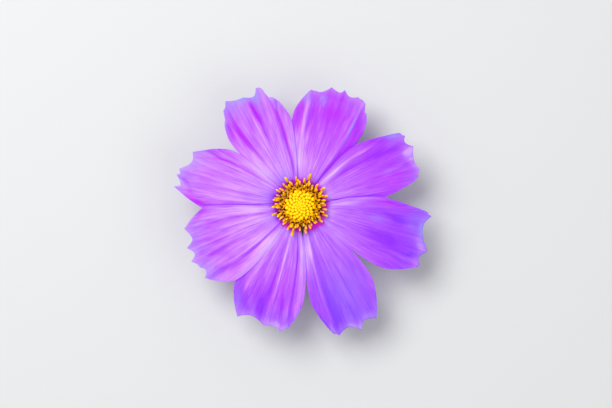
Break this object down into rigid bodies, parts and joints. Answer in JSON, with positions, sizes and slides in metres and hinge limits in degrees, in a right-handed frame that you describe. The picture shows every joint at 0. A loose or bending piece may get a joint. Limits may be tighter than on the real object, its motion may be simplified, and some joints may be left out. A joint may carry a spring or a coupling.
{
  "type": "cosmos flower",
  "caption": "Picked open cosmos bloom with broad toothed petals, a yellow disc of florets, green bracts and a short bent stem, lying face up.",
  "frame": {"origin": "centre of the flower's outline, seen from above, on the surface that it lies on", "axes": "+Z the way the bloom faces, straight up from that surface; +X and +Y across the bloom"},
  "size_m": [0.0772, 0.0747, 0.0191],
  "materials": {
    "petal": "satin",
    "floret": "matte",
    "inner_bract": "satin",
    "outer_bract": "satin",
    "stem": "satin"
  },
  "bodies": {
    "root": {"petal_1": "petal", "petal_2": "petal", "petal_3": "petal", "petal_4": "petal", "petal_5": "petal", "petal_6": "petal", "petal_7": "petal", "petal_8": "petal", "disc_florets": "floret", "inner_bracts": "inner_bract", "outer_bracts": "outer_bract", "stem": "stem"}
  },
  "joints": []
}
